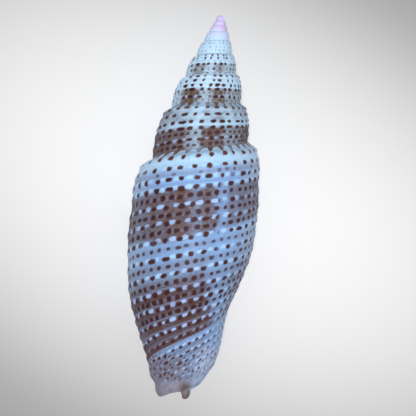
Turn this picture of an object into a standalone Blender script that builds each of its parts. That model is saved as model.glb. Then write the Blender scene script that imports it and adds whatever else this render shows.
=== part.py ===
"""Mitre shell: one closed solid, coiled by a growth law and lying on its aperture.

The wall is a generating line swept round the coiling axis.  One turn back in growth
shrinks the line along the axis by AXIAL_GROWTH and across it by RADIAL_GROWTH, so every
whorl, ledge and cord follows from the one profile below.  Turns are counted back from
the outer lip, and the distance along the line is written at the lip's own scale.
"""
import math

import bmesh
import bpy
import numpy as np
from mathutils import Matrix

MM = 0.001

# Growth law and coiling axis
AXIAL_GROWTH = 1.477            # growth along the axis in one turn
RADIAL_GROWTH = 1.377           # growth across the axis in one turn
WHORL_TURNS = 7.5               # from the outer lip to the first whorl
LIP_ANGLE = math.radians(223.0)     # where the outer lip stands round the axis
AXIS_BEND = math.radians(5.6)   # how far the spire leans from the base's axis
BEND_REACH = 33.8               # mm of axis, from the apex, over which it straightens
WOBBLE_START = 0.87             # turns back from the lip where one askew whorl starts
WOBBLE = 0.25                   # its suture rises and dips by this, in mm
LAST_WOBBLE = 0.08              # how far the last whorl's suture dips on the lip's side

# Generating line at the outer lip, in mm: distance from the apex along the axis, radius
SUTURE = 20.8                   # where a whorl starts on the one before
CONTACT = SUTURE * AXIAL_GROWTH     # where the next whorl covers it
CONTACT_RADIUS = 9.26
PROFILE = ((21.9, 7.98), (23.6, 8.75), (27.3, 9.0), (CONTACT, CONTACT_RADIUS), (34.5, 9.1),
           (37.0, 8.95), (39.6, 8.53), (42.3, 7.7), (44.9, 6.77), (47.5, 5.67), (50.7, 4.95),
           (54.0, 4.52), (57.2, 3.75), (59.4, 2.45), (61.2, 1.1), (63.0, 0.5))
EARLY_CHANGE = ((SUTURE, 0.0), (21.9, -0.15), (23.6, -0.2), (27.3, 0.2), (CONTACT, 0.0), (34.5, 0.0))
EARLY_START = 0.5               # turns back from which the line takes its earlier form
EARLY_SPAN = 0.7
APEX_NARROWING = 0.07           # share by which the first whorls are narrower than the law says
APEX_NARROWING_START = 3.2
APEX_NARROWING_SPAN = 1.8

# Spiral cords: distance along the generating line of each main cord, in mm
CORDS = (21.9, 23.45, 25.05, 26.3, 28.8, 31.1, 33.4, 35.85, 38.2, 40.6, 42.65, 44.65, 46.1,
         47.4, 48.9, 50.2, 51.4, 52.6)
CORD_HEIGHT = 0.17
CORD_END = 54.2                 # the smooth end starts below the last cord
CORD_FADE = 2.0                 # the cords sink to nothing over this length before it
SUTURE_FADE = 0.4               # and over this length from the suture
SEAM_FADE = 0.5                 # and either side of the next whorl's contact
SEAM_START = 0.85               # turns back from which the next whorl covers the contact

# Front margin of the wall: turns back from the lip, distance along the axis in mm
MARGIN = ((-0.08, 48.8), (0.0, 49.6), (0.08, 49.95), (0.14, 50.0), (0.2, 49.65), (0.26, 49.15),
          (0.32, 48.85), (0.4, 48.5), (0.48, 48.15), (0.56, 47.95), (0.66, 49.5), (0.8, 49.95),
          (1.0, 50.0), (1.3, 49.9), (1.7, 49.5))
WAIST = 0.62                    # how far the wall draws in before its front margin
WAIST_REACH = 2.7               # where that starts, before the margin
WAIST_SPAN = 1.4
EDGE_ROUND = 0.25               # the margin's own rounding, over the last stretch
EDGE_REACH = 0.7
FREE_MARGIN = 0.33              # turns back to which the margin stands free of the columella
FREE_MARGIN_FADE = 0.3

# Columella: the solid pillar round the axis, seen in the aperture
CANAL_TURNS = 0.66              # the aperture's depth, in turns
PILLAR_RADIUS = 0.44            # at its tip
PILLAR_FLARE = 0.055            # radius gained for each mm up from the tip
PILLAR_REACH = 14.0
PILLAR_TURN = 0.8               # the pillar's own growth in one turn
PILLAR_START = 62.4             # distance along the generating line
PILLAR_BLEND = 0.5              # softens the change from the wall to the pillar
PILLAR_SPREAD = 0.6             # how much wider its flank towards the outer lip grows
PILLAR_SPREAD_TURN = 1.12       # where that flank is, in turns back
PILLAR_SPREAD_HALF = 0.3        # and how far it runs round either way
PILLAR_SPREAD_RISE = (0.35, 0.9)    # start above the tip and length, in mm, of its growth
PILLAR_SPREAD_FALL = (2.5, 4.0)     # and of its sinking back into the pillar
TIP_DISTANCE = 50.45            # the columella's rounded tip
TIP_SHIFT = -0.35               # the axis steps aside by this much over the last stretch
TIP_SHIFT_START = 43.0
APEX_DISTANCE = 0.4             # the rounded apex
FOLDS = (38.6, 41.6, 44.7, 47.9, 51.2)      # columella folds, along the generating line
FOLD_HEIGHT = 0.42
FOLD_WIDTH = 0.75
FOLD_START = (0.9, 0.1)         # turns back where the folds rise, and over what span
FOLD_STOP = (1.3, 0.3)          # and where they sink again

# Wall thickness and the hollow, in mm
LIP_THICKNESS = 0.55
LIP_SPAN = 0.06                 # turns over which the lip thickens to the wall
LIP_STRAIGHT = 0.24             # how much the lip's bulge is flattened
LIP_STRAIGHT_PLACE = (32.1, 7.2)    # its middle and half length on the generating line
LIP_STRAIGHT_SPAN = 0.08        # and the turns over which it fades
WALL_THICKNESS = 0.95
END_THICKNESS = 0.2
END_REACH = 6.0                 # length of the line over which the wall thins to its end
CORNER_REACH = 2.2              # the hollow opens over this length from its back corner
CORNER_GAP = 0.15               # share of its width that it has there already

# Mesh
COLUMNS = 30                    # in one turn
END_STEP = 2.1                  # between rows of the smooth end, in mm
PILLAR_SHARES = (0.34, 0.67, 1.0)       # rows of the pillar, as shares of its length
WELD = 0.012 * MM
SHARP_ANGLE = math.radians(50.0)

# Lying on the aperture: turns about the long axis, across it and about the vertical
REST_ROLL = math.radians(-5.3)
REST_PITCH = math.radians(0.57)
REST_YAW = math.radians(1.95)


def smooth_step(x):
    """0 to 1 with flat ends."""
    x = np.clip(x, 0.0, 1.0)
    return x * x * (3.0 - 2.0 * x)


def rise(x, start, span):
    """0 up to the start and 1 from the start plus the span."""
    return smooth_step((x - start) / span)


def smooth_max(a, b, blend):
    """The larger of two lengths, with a rounded change from one to the other."""
    share = np.clip(0.5 + 0.5 * (a - b) / blend, 0.0, 1.0)
    return b + (a - b) * share + blend * share * (1.0 - share)


def curve_through(points, x):
    """A smooth curve through a few points, read at x."""
    px, py = np.array(points, dtype=float).T
    slope = np.gradient(py, px)
    x = np.clip(x, px[0], px[-1])
    k = np.clip(np.searchsorted(px, x, side="right") - 1, 0, len(px) - 2)
    step = px[k + 1] - px[k]
    t = (x - px[k]) / step
    return (py[k] * (1 + 2 * t) * (1 - t) ** 2 + slope[k] * step * t * (1 - t) ** 2
            + py[k + 1] * t * t * (3 - 2 * t) + slope[k + 1] * step * t * t * (t - 1))


def axis_frame(distance):
    """Place and lean of the coiling axis at each distance from the apex."""
    step = 0.1
    marks = np.arange(0.0, TIP_DISTANCE + 10.0, step)
    lean = AXIS_BEND * (1.0 - smooth_step(marks / BEND_REACH))
    across = -np.cumsum(np.sin(lean)) * step
    along = -np.cumsum(np.cos(lean)) * step
    across += TIP_SHIFT * rise(marks, TIP_SHIFT_START, TIP_DISTANCE - TIP_SHIFT_START)
    return (np.interp(distance, marks, across), np.interp(distance, marks, along),
            np.interp(distance, marks, lean))


def place(turns, distance, radius):
    """Points in space, in mm, from turns back, distance along the axis and radius."""
    across, along, lean = axis_frame(distance)
    angle = LIP_ANGLE - 2.0 * math.pi * turns
    side = radius * np.cos(angle)
    return np.stack([across + side * np.cos(lean), along - side * np.sin(lean),
                     radius * np.sin(angle)], axis=-1)


def line_radius(turns, s):
    """Radius of the generating line, which meets the earlier whorl at the suture."""
    radius = curve_through(((SUTURE, CONTACT_RADIUS / RADIAL_GROWTH),) + PROFILE, s)
    radius = radius + curve_through(EARLY_CHANGE, s) * rise(turns, EARLY_START, EARLY_SPAN)
    back = turns + np.clip((CONTACT - s) / (CONTACT - SUTURE), 0.0, 1.0)
    narrow = rise(back, APEX_NARROWING_START, APEX_NARROWING_SPAN)
    return radius * (1.0 - APEX_NARROWING * narrow)


def cord_relief(turns, s):
    """Relief of the main cords along the generating line."""
    centres = np.array(CORDS)
    gaps = np.gradient(centres)
    k = np.argmin(np.abs(s[..., None] - centres), axis=-1)
    relief = CORD_HEIGHT * (1.0 - smooth_step(np.abs(s - centres[k]) / (0.5 * gaps[k])))
    relief = relief * rise(s, SUTURE, SUTURE_FADE) * (1.0 - rise(s, CORD_END - CORD_FADE, CORD_FADE))
    seam = 1.0 - smooth_step(np.abs(s - CONTACT) / SEAM_FADE)
    return relief * (1.0 - seam * rise(turns, SEAM_START, 1.0 - SEAM_START))


def margin(turns):
    """Where the wall ends, as a distance along the generating line."""
    return curve_through(MARGIN, turns) * AXIAL_GROWTH ** turns


def pillar_radius(turns, distance):
    """Radius of the solid columella, whose flank spreads a little above the tip."""
    height = np.clip(TIP_DISTANCE - distance, 0.0, PILLAR_REACH)
    spread = rise(height, *PILLAR_SPREAD_RISE) * (1.0 - rise(height, *PILLAR_SPREAD_FALL))
    spread = spread * (1.0 - smooth_step(np.abs(turns - PILLAR_SPREAD_TURN) / PILLAR_SPREAD_HALF))
    slim = (PILLAR_RADIUS + PILLAR_FLARE * height) * PILLAR_TURN ** (turns - CANAL_TURNS)
    return slim + PILLAR_SPREAD * spread


def wobble(turns):
    """How far the suture is out of its regular place, along the axis."""
    around = 2.0 * math.pi * (np.clip(turns, 0.0, WOBBLE_START + 1.0) - WOBBLE_START)
    return np.where(around > 0.0, -WOBBLE, LAST_WOBBLE) * np.sin(around)


def lip_flattening(turns, s):
    """How far the outer lip's bulge is drawn in, which makes its edge straight there."""
    middle, half = LIP_STRAIGHT_PLACE
    share = np.clip(1.0 - ((s - middle) / half) ** 2, 0.0, 1.0) ** 2
    return LIP_STRAIGHT * share * (1.0 - smooth_step(turns / LIP_STRAIGHT_SPAN))


def wall(turns, s, corded=True):
    """Distance along the axis and radius of the outer surface."""
    share = np.clip((s - SUTURE) / (CONTACT - SUTURE), 0.0, 1.0)
    distance = s * AXIAL_GROWTH ** -turns
    distance = distance + (1.0 - share) * wobble(turns) + share * wobble(turns - 1.0)
    radius = line_radius(turns, s) - lip_flattening(turns, s)
    if corded:
        radius = radius + cord_relief(turns, s)
    radius = radius * RADIAL_GROWTH ** -turns
    with_pillar = smooth_max(radius, pillar_radius(turns, distance), PILLAR_BLEND)
    to_end = margin(turns) - s
    turn_in = (WAIST * smooth_step((WAIST_REACH - to_end) / WAIST_SPAN)
               + EDGE_ROUND * np.clip(1.0 - to_end / EDGE_REACH, 0.0, 1.0) ** 2)
    with_pillar = with_pillar - turn_in * (1.0 - rise(turns, FREE_MARGIN, FREE_MARGIN_FADE))
    return distance, np.where(s > CONTACT, with_pillar, radius)


def columella(turns, s):
    """The base's surface, which carries the folds where it lies inside the aperture."""
    distance, radius = wall(turns, s)
    near = np.abs(s[..., None] - np.array(FOLDS)).min(axis=-1)
    share = rise(turns, *FOLD_START) * (1.0 - rise(turns, *FOLD_STOP)) * (s > CONTACT)
    return distance, radius + FOLD_HEIGHT * (1.0 - smooth_step(near / FOLD_WIDTH)) * share


def spire_rows():
    """Rows of the wall from suture to contact: each main cord and the groove after it."""
    centres = [c for c in CORDS if c < CONTACT - 1.0]
    grooves = [0.5 * (a + b) for a, b in zip(CORDS, CORDS[1:]) if b < CONTACT + 1.0]
    return np.array(sorted([SUTURE, CONTACT] + centres + grooves))


def base_rows():
    """Rows of the wall below the contact."""
    below = [c for c in CORDS if c > CONTACT]
    grooves = [0.5 * (a + b) for a, b in zip(below, below[1:])]
    smooth_end = list(np.arange(CORD_END, PILLAR_START + 0.1, END_STEP))
    return np.array(sorted(below[1:] + grooves + smooth_end))


def base_places(turns):
    """Distances along the generating line of the base's rows, ended at the margin."""
    end = margin(turns)[:, None]
    upper = np.minimum(base_rows()[None, :], end)
    start = np.minimum(PILLAR_START, end)
    return np.concatenate([upper, start + np.array(PILLAR_SHARES) * (end - start)], axis=1)


def wall_thickness(turns, s):
    """Thickness from the outer surface to the lumen."""
    whole = LIP_THICKNESS + (WALL_THICKNESS - LIP_THICKNESS) * smooth_step(turns / LIP_SPAN)
    whole = whole * RADIAL_GROWTH ** -turns
    at_end = LIP_THICKNESS + (END_THICKNESS - LIP_THICKNESS) * smooth_step(turns / CANAL_TURNS)
    return whole + (at_end - whole) * smooth_step((s - margin(turns)) / END_REACH + 1.0)


def lumen_outline(depth):
    """Distance and radius of the lumen's outer side at a depth, from corner to margin."""
    turns = np.array([depth])
    rows = np.concatenate([spire_rows(), base_places(turns)[0]])
    corner = base_places(turns + 1.0)[0][0] / AXIAL_GROWTH
    end = margin(turns)[0]
    s = corner + (rows[1:] - SUTURE) * (end - corner) / (end - SUTURE)
    distance, radius = wall(turns, s, corded=False)
    inner = radius - wall_thickness(turns, s)
    earlier = columella(turns + 1.0, np.maximum(s, corner) * AXIAL_GROWTH)[1]
    gap = np.maximum(inner - earlier, 0.0)
    opened = CORNER_GAP + (1.0 - CORNER_GAP) * smooth_step((s - corner) / CORNER_REACH)
    return distance, np.where(s < corner + CORNER_REACH, earlier + gap * opened, inner)


def sheet(bm, points):
    """A grid of faces through points given as columns of rows, in mm."""
    columns, rows = points.shape[:2]
    made = bmesh.ops.create_grid(bm, x_segments=columns - 1, y_segments=rows - 1, size=0.5)
    for vert in made["verts"]:
        i = round((vert.co.x + 0.5) * (columns - 1))
        j = round((vert.co.y + 0.5) * (rows - 1))
        vert.co = points[i, j] * MM


def dome(bm, ring, distance, steps):
    """Close a ring of points with a rounded cap that ends on the axis at a distance."""
    across, along, _ = axis_frame(distance)
    tip = np.array([across, along, 0.0])
    rows = []
    for k in range(steps + 1):
        swing = 0.5 * math.pi * k / steps
        rows.append(tip + (ring - tip) * math.cos(swing) + (tip - ring.mean(axis=0))
                    * (math.sin(swing) + math.cos(swing) - 1.0))
    sheet(bm, np.stack(rows, axis=1))


def outer_wall(bm):
    """All whorls, and the base down to the margin and round the columella."""
    turns = np.arange(round(WHORL_TURNS * COLUMNS) + 1) / COLUMNS
    grid_turns, grid_s = np.meshgrid(turns, spire_rows(), indexing="ij")
    sheet(bm, place(grid_turns, *wall(grid_turns, grid_s)))
    base_turns = np.arange(COLUMNS + 1) / COLUMNS
    grid_s = np.column_stack([np.full(len(base_turns), CONTACT), base_places(base_turns)])
    grid_turns = np.repeat(base_turns[:, None], grid_s.shape[1], axis=1)
    sheet(bm, place(grid_turns, *columella(grid_turns, grid_s)))


def lumen(bm):
    """The hollow from the aperture back to its closed depth; returns its pillar's end."""
    depths = np.arange(round(CANAL_TURNS * COLUMNS) + 1) / COLUMNS
    columns = []
    edge = []
    for depth in depths:
        outer = place(depth, *lumen_outline(depth))
        pillar_s = base_places(np.array([depth + 1.0]))[0]
        inner = place(depth + 1.0, *columella(np.full(len(pillar_s), depth + 1.0), pillar_s))
        if depth == depths[-1]:
            outer[-1] = inner[-1]
        columns.append(np.concatenate([outer[::-1], inner]))
        edge.append((margin_point(depth), outer[-1]))
    sheet(bm, np.stack(columns)[:, ::-1])
    sheet(bm, np.array(edge))
    lip(bm, columns[0])
    return [column[-1] for column in columns]


def lip(bm, first_column):
    """The outer lip's edge, from the outer surface to the lumen's first column."""
    lip_s = np.concatenate([spire_rows(), base_places(np.array([0.0]))[0]])
    outer = place(0.0, *wall(np.zeros(len(lip_s)), lip_s))
    inner = first_column[:len(lip_s)][::-1]
    sheet(bm, np.stack([outer, inner], axis=1)[::-1])


def margin_point(turns):
    """The point of the outer surface at the margin."""
    return place(turns, *wall(np.array([turns]), margin(np.array([turns]))))[0]


def close_tip(bm, pillar_ends):
    """The columella's rounded tip, over the margin's closed part and the pillar's end."""
    first = round(CANAL_TURNS * COLUMNS)
    ring = [margin_point(i / COLUMNS) for i in range(first, COLUMNS)]
    dome(bm, np.array(ring + pillar_ends + ring[:1]), TIP_DISTANCE, 3)


def close_apex(bm):
    """The rounded apex, over the first whorl."""
    last = round(WHORL_TURNS * COLUMNS)
    turns = np.arange(last - COLUMNS, last + 1) / COLUMNS
    around = place(turns, *wall(turns, np.full(len(turns), SUTURE)))
    rows = spire_rows()
    across = place(turns[-1], *wall(np.full(len(rows), turns[-1]), rows))
    dome(bm, np.concatenate([around, across[1:]])[::-1], APEX_DISTANCE, 3)


def build_shell():
    """The whole shell in its growing frame, welded and closed."""
    bm = bmesh.new()
    outer_wall(bm)
    close_tip(bm, lumen(bm))
    close_apex(bm)
    bmesh.ops.remove_doubles(bm, verts=bm.verts, dist=WELD)
    bmesh.ops.dissolve_degenerate(bm, edges=bm.edges, dist=WELD)
    bmesh.ops.holes_fill(bm, edges=[e for e in bm.edges if e.is_boundary], sides=0)
    bmesh.ops.recalc_face_normals(bm, faces=bm.faces)
    return bm


def lay_down(bm):
    """Turn the shell to its resting pose and set its lowest point on the ground."""
    tipped = Matrix.Rotation(REST_PITCH, 4, "X") @ Matrix.Rotation(REST_ROLL, 4, "Y")
    turn = Matrix.Rotation(REST_YAW, 4, "Z") @ tipped
    bmesh.ops.transform(bm, matrix=turn, verts=bm.verts)
    places = np.array([v.co for v in bm.verts])
    low, high = places.min(axis=0), places.max(axis=0)
    middle = (low + high) / 2
    bmesh.ops.translate(bm, vec=(-middle[0], -middle[1], -low[2]), verts=bm.verts)


def shell_material():
    """Pale glossy shell."""
    material = bpy.data.materials.new("glazed_shell")
    material.use_nodes = True
    shader = material.node_tree.nodes["Principled BSDF"]
    shader.inputs["Base Color"].default_value = (0.42, 0.5, 0.66, 1.0)
    shader.inputs["Roughness"].default_value = 0.38
    shader.inputs["Metallic"].default_value = 0.0
    return material


def main():
    """Make the shell in an empty scene."""
    for old in list(bpy.data.objects):
        bpy.data.objects.remove(old, do_unlink=True)
    bm = build_shell()
    lay_down(bm)
    mesh = bpy.data.meshes.new("shell")
    bm.to_mesh(mesh)
    bm.free()
    mesh.shade_smooth()
    mesh.set_sharp_from_angle(angle=SHARP_ANGLE)
    shell = bpy.data.objects.new("shell", mesh)
    bpy.context.scene.collection.objects.link(shell)
    mesh.materials.append(shell_material())


main()
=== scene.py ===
"""Mitre shell, dressed: one coiled, corded and dotted shell lying on its aperture.

The surface follows a growth law.  One turn back from the outer lip the generating line
shrinks along the coiling axis by one factor and across it by another, so whorls, cords
and dots all follow from one line.  Turns are counted back from the lip, and the distance
along the line is written at the lip's own scale, in millimetres.
"""

import math

import bmesh
import bpy
import numpy as np
from bpy.props import FloatProperty, FloatVectorProperty, IntProperty, PointerProperty
from mathutils import Matrix, Vector


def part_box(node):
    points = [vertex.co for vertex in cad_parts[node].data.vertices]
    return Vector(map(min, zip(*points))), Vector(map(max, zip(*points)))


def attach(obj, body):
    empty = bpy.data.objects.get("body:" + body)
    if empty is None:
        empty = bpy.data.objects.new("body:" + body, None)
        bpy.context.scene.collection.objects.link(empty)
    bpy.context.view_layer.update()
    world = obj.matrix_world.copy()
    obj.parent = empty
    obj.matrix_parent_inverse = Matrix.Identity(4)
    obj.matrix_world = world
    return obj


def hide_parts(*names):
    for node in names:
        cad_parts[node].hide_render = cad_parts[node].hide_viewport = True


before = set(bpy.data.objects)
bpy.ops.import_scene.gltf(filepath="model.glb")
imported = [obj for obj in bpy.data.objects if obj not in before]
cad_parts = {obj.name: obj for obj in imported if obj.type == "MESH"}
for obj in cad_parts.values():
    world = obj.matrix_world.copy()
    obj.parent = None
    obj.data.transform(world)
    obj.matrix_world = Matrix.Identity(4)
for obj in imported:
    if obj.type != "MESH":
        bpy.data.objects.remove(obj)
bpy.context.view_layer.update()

bl_info = {
    "name": "Mitre shell",
    "version": (1, 0, 0),
    "blender": (4, 5, 0),
    "location": "3D View > Sidebar > Mitre shell",
    "description": "Grows a corded and dotted mitre shell and sets it on a plain stage",
    "category": "Object",
}

MM = 0.001
NODE = "shell"
BODY = "root"

# Generating line at the outer lip, in mm: distance from the apex along the axis, radius
SUTURE = 20.8                   # where a whorl starts on the one before
CONTACT_RADIUS = 9.26           # where the next whorl covers it
PROFILE = ((21.9, 7.98), (23.6, 8.75), (27.3, 9.0), (30.72, CONTACT_RADIUS), (34.5, 9.1),
           (37.0, 8.95), (39.6, 8.53), (42.3, 7.7), (44.9, 6.77), (47.5, 5.67), (50.7, 4.95),
           (54.0, 4.52), (57.2, 3.75), (59.4, 2.45), (61.2, 1.1), (63.0, 0.5))
EARLY_CHANGE = ((SUTURE, 0.0), (21.9, -0.15), (23.6, -0.2), (27.3, 0.2), (30.72, 0.0), (34.5, 0.0))
EARLY_START = 0.5               # turns back from which the line takes its earlier form
EARLY_SPAN = 0.7
APEX_NARROWING = 0.07           # share by which the first whorls are narrower than the law says
APEX_NARROWING_START = 3.2
APEX_NARROWING_SPAN = 1.8

# Main spiral cords: where each lies along the generating line
CORDS = (21.9, 23.45, 25.05, 26.3, 28.8, 31.1, 33.4, 35.85, 38.2, 40.6, 42.65, 44.65, 46.1,
         47.4, 48.9, 50.2, 51.4, 52.6, 53.9, 55.2, 56.5)
CORD_MARGIN = 1.4               # mm from the first and the last cord to the next marks
SMOOTH_MARK = 14.0              # mm on to the mark that ends the smooth tip
SMOOTH_NUMBERS = 20             # cord numbers in that stretch
FINE_CORDS = (6.0, 22.0)        # cord numbers between which a fine cord runs in each gap

# Coiling axis
LIP_ANGLE = math.radians(223.0)     # where the outer lip stands round the axis
BEND_REACH = 33.8               # mm of axis over which the spire's lean straightens
WOBBLE_START = 0.87             # turns back where the one askew whorl starts
LAST_WOBBLE = 0.08              # how far the last whorl's suture dips on the lip's side
TIP_DISTANCE = 50.45            # the columella's rounded tip
TIP_SHIFT = -0.35               # how far the tip stands to the side
TIP_SHIFT_START = 43.0
APEX_DISTANCE = 0.4             # the first whorl's rounded top
AXIS_STEP = 0.1                 # the axis is worked out in such steps,
AXIS_LENGTH = 60.0              # over this length
SCULPTURE_END = 47.6            # mm of axis where cords and dots give way to the smooth end
FRONT_SLANT = 4.5               # mm by which the dots' end slants across the last whorl

# How the sculpture sinks: near the sutures, at the front, and on the spire
SUTURE_FADE = 0.4               # it rises over this length from the suture
SEAM_FADE = 0.5                 # and sinks either side of the next whorl's contact
SEAM_START = 0.85               # turns back from which the next whorl covers the contact
CORD_FADE = 2.0                 # the cords sink over this length of axis,
CORD_FADE_LEAD = 2.2            # which starts so far before the smooth end
SMOOTH_APEX = (4.6, 1.2)        # turns back over which it sinks: start and span
FINE_END = (1.2, 0.8)           # and the fine cords alone
FINE_FADE = 2.0                 # cord numbers over which the fine cords rise and sink
FINE_SHARE = 0.25               # share of a main cord's width that they take
FINE_HALF = 0.45                # their half width, in cord numbers
KNOB_HALF = 1.1                 # half width of the knobs at the shoulder, in cord numbers

# Front margin of the wall: turns back from the lip, distance along the axis in mm
MARGIN = ((-0.08, 48.8), (0.0, 49.6), (0.08, 49.95), (0.14, 50.0), (0.2, 49.65), (0.26, 49.15),
          (0.32, 48.85), (0.4, 48.5), (0.48, 48.15), (0.56, 47.95), (0.66, 49.5), (0.8, 49.95),
          (1.0, 50.0), (1.3, 49.9), (1.7, 49.5))
WAIST = 0.62                    # how far the wall draws in before its front margin
WAIST_REACH = 2.7               # where that starts, before the margin
WAIST_SPAN = 1.4
EDGE_ROUND = 0.25               # the margin's own rounding, over the last stretch
EDGE_REACH = 0.7
FREE_MARGIN = (0.33, 0.3)       # turns back over which it joins the columella: start and span

# Columella: the solid pillar round the axis, with its folds
CANAL_TURNS = 111 / 168         # the aperture's depth, in turns
PILLAR_RADIUS = 0.44            # at its tip
PILLAR_FLARE = 0.055            # radius gained for each mm up from the tip
PILLAR_REACH = 14.0
PILLAR_TURN = 0.8               # the pillar's own growth in one turn
PILLAR_TURN_START = 0.66
PILLAR_START = 62.4             # distance along the generating line
PILLAR_BLEND = 0.5              # mm over which the wall runs into it
PILLAR_SPREAD = 0.6             # how much wider its flank towards the outer lip grows
PILLAR_SPREAD_TURN = 1.12
PILLAR_SPREAD_HALF = 0.3
PILLAR_SPREAD_RISE = (0.35, 0.9)    # mm up from the tip: start and span
PILLAR_SPREAD_FALL = (2.5, 4.0)
FOLDS = (38.6, 41.6, 44.7, 47.9, 51.2)
FOLD_WIDTH = 0.75
FOLDS_RISE = (0.9, 0.1)         # turns back over which the folds rise, and sink again
FOLDS_FALL = (1.3, 0.3)
BARE_START = (0.98, 0.02)       # and over which the covered wall loses its cords

# Lip: its thickness and its rounded edge
END_THICKNESS = 0.2             # at the front end, behind the lip
LIP_TAPER = 0.06                # turns over which the wall grows to its full thickness
END_TAPER = 0.66                # and the same at the front end
END_TAPER_LENGTH = 6.0          # mm of line over which the front end's thickness sets in
LIP_ROUND = 0.2                 # how far the rounded lip stands past its two edges
LIP_AHEAD = 0.002               # turns ahead that give the lip's own direction
LIP_FRONT = 2.5                 # mm of line over which the edge turns to face the front
RIM_TURN = 12.0                 # how fast the front rim turns to face straight down
RIM_END = (0.55, 0.4)           # share of the rim over which its rounding dies out

# Rows and columns of the mesh
ROW_STEP = 0.3                  # cord numbers between two rows
SMOOTH_START = 1.8              # mm below the last cord where the wider rows start
SMOOTH_STEP = 0.7               # mm between them
PILLAR_ROWS = 8
CORNER = 32.25                  # where the base leaves the corner below the suture
OPENING = 2.2                   # mm of line over which the hollow opens from its corner
OPENING_LEAST = 0.15            # share of the gap that is open in the corner
RIM_PLACE = 55.0                # places along the line that colour the front rim
TIP_PLACE = 64.0                # and the tip
TIP_TURN = 0.8
TIP_ROWS = 6
APEX_ROWS = 4
WELD = 0.002                    # mm within which two sheets' points are one

# Spacing of the dots round the whorls: a sway crowds them towards the lip's far side
DOT_SWAY = 0.55                 # in dots
DOT_SWAY_TURN = 0.62            # share of a turn where it is 0
DOT_THINNING = 0.07             # share of the dots in a turn that each turn back loses
DOT_PHASE = 0.68                # where the dots start, in dots: main, shoulder and fine
SHOULDER_PHASE = 0.97
FINE_PHASE = 0.3

# Where the outer lip's bulge is flattened, in mm on the generating line and in turns
LIP_STRAIGHT = 0.24
LIP_STRAIGHT_PLACE = 32.1
LIP_STRAIGHT_HALF = 7.2
LIP_STRAIGHT_SPAN = 0.08

# Rest pose of the growing frame: turns about the long axis, across it, about the vertical
REST_ROLL = math.radians(-5.3)
REST_PITCH = math.radians(0.57)
REST_YAW = math.radians(1.95)

CELL_POWER = 2.4                # power of the superellipse that rounds the dots and blocks

# Soft noises of the glaze: cycles in a turn, cycles in a mm of line, seed, detail
NOISES = {
    "sway": (16.0, 0.3, 1.0, 2.0),
    "wander": (18.0, 0.5, 2.0, 2.0),
    "rough": (22.0, 0.55, 3.0, 3.0),
    "grain": (190.0, 3.2, 4.0, 2.0),
    "mottling": (9.0, 0.5, 5.0, 2.0),
    "ragged": (95.0, 2.0, 6.0, 2.0),
    "threads": (170.0, 0.35, 8.0, 2.0),
    "stains": (40.0, 1.2, 9.0, 3.0),
    "border": (9.0, 0.9, 10.0, 3.0),
}
SEED_SPACING = 7.3              # how far apart two seeds lie in the noise

# What the camera looks at, in mm of the growing frame: to the left of the apex, below it
VIEW_CENTRE = (1.8, 25.48)

# Lamp, and the oval of the painted pool of light on which the floor is palest, in metres
LAMP_HEIGHT = 0.6
LAMP_SIZE = 0.08
FLOOR_CENTRE = (0.0037, 0.0011)
FLOOR_REACH = (0.06, 0.0355)
FLOOR_TURN = math.radians(-17.0)

# Brown haze between the dots, as (place, strength) pairs: two bands by their place along
# the line, and streaks by their place round the whorl, in shares of a turn
UPPER_BAND = ((20.8, 0.0), (26.1, 0.0), (26.8, 1.0), (33.2, 1.0), (34.2, 0.18), (36.5, 0.2),
              (38.4, 0.35))
LOWER_BAND = ((35.4, 0.0), (36.4, 0.36), (38.6, 0.55), (40.4, 1.0), (42.5, 1.0), (45.8, 1.0),
              (46.7, 1.4), (47.9, 1.4), (48.05, 0.0), (48.7, 0.1), (49.0, 0.5), (51.5, 0.5),
              (53.3, 0.3))
STREAKS_UPPER = ((0.0, 0.7), (0.08, 0.8), (0.16, 0.82), (0.2, 0.7), (0.25, 0.85), (0.335, 1.0),
                 (0.35, 0.75), (0.365, 0.62), (0.378, 0.85), (0.408, 0.82), (0.42, 0.2),
                 (0.437, 0.2), (0.452, 0.62), (0.5, 0.66), (0.6, 0.7), (0.68, 0.85),
                 (0.73, 0.2), (0.78, 0.9), (0.86, 0.95), (0.89, 0.3), (0.93, 0.7), (1.0, 0.6))
STREAKS_LOWER = ((0.0, 0.75), (0.1, 0.8), (0.2, 0.95), (0.36, 1.0), (0.395, 0.85), (0.41, 0.5),
                 (0.43, 0.3), (0.46, 0.3), (0.485, 0.5), (0.56, 0.6), (0.62, 0.6), (0.7, 0.9),
                 (0.74, 0.25), (0.8, 0.95), (0.87, 0.9), (0.9, 0.3), (0.95, 0.8), (1.0, 0.75))
STREAKS_SECOND = ((0.0, 0.6), (0.1, 0.8), (0.17, 0.95), (0.295, 1.0), (0.315, 0.62),
                  (0.352, 0.5), (0.368, 1.0), (0.425, 1.0), (0.44, 0.65), (0.5, 0.75),
                  (0.56, 0.95), (0.7, 0.9), (0.74, 0.3), (0.82, 0.9), (0.9, 0.35), (1.0, 0.6))
STREAKS_THIRD = ((0.0, 0.1), (0.15, 0.08), (0.22, 0.35), (0.245, 1.0), (0.31, 1.0),
                 (0.33, 0.45), (0.37, 0.5), (0.395, 1.0), (0.43, 0.95), (0.45, 0.6),
                 (0.55, 0.55), (0.7, 0.7), (0.76, 0.2), (0.85, 0.6), (0.9, 0.2), (1.0, 0.2))


def smooth_step(x):
    """0 to 1 with flat ends."""
    x = np.clip(x, 0.0, 1.0)
    return x * x * (3.0 - 2.0 * x)


def rise(x, start, span):
    """0 up to the start and 1 from a span beyond it, smooth between."""
    return smooth_step((x - start) / span)


def fall(x, start, span):
    """1 up to the start and 0 from a span beyond it, smooth between."""
    return 1.0 - rise(x, start, span)


def smooth_max(a, b, blend):
    """The larger of two lengths, with a rounded change from one to the other."""
    share = np.clip(0.5 + 0.5 * (a - b) / blend, 0.0, 1.0)
    return b + (a - b) * share + blend * share * (1.0 - share)


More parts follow.
